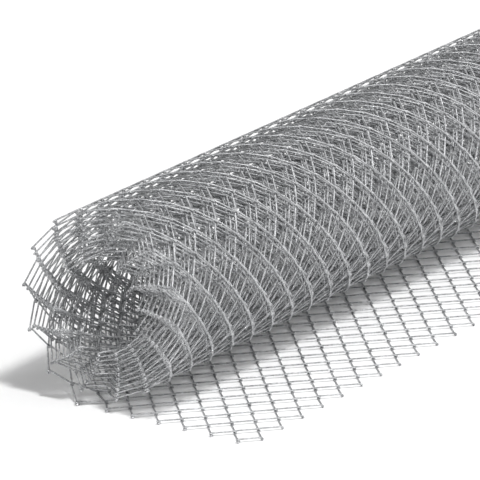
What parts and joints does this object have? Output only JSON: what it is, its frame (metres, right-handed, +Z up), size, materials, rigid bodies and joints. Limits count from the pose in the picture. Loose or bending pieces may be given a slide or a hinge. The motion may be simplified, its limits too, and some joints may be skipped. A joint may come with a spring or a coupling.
{
  "type": "roll of chain-link fencing",
  "caption": "Roll of galvanised diamond-mesh chain-link fencing lying on its side, wound in loose turns round an open bore, with its loose end flat on the floor.",
  "frame": {"origin": "on the floor, under the middle of the whole part's box", "axes": "+X along the roll's axis, away from the end that faces the viewer in the picture; the loose end lies toward -Y; +Z up"},
  "size_m": [1.8036, 0.5808, 0.4262],
  "materials": {
    "galvanised_fabric": "wound galvanised steel wire, dull zinc grey",
    "galvanised_wire": "galvanised steel wire, dull zinc grey with bright streaks"
  },
  "bodies": {
    "root": {"rolled_turns": "galvanised_fabric", "loose_end_near_roll": "galvanised_wire", "loose_end_outer": "galvanised_wire"}
  },
  "joints": []
}
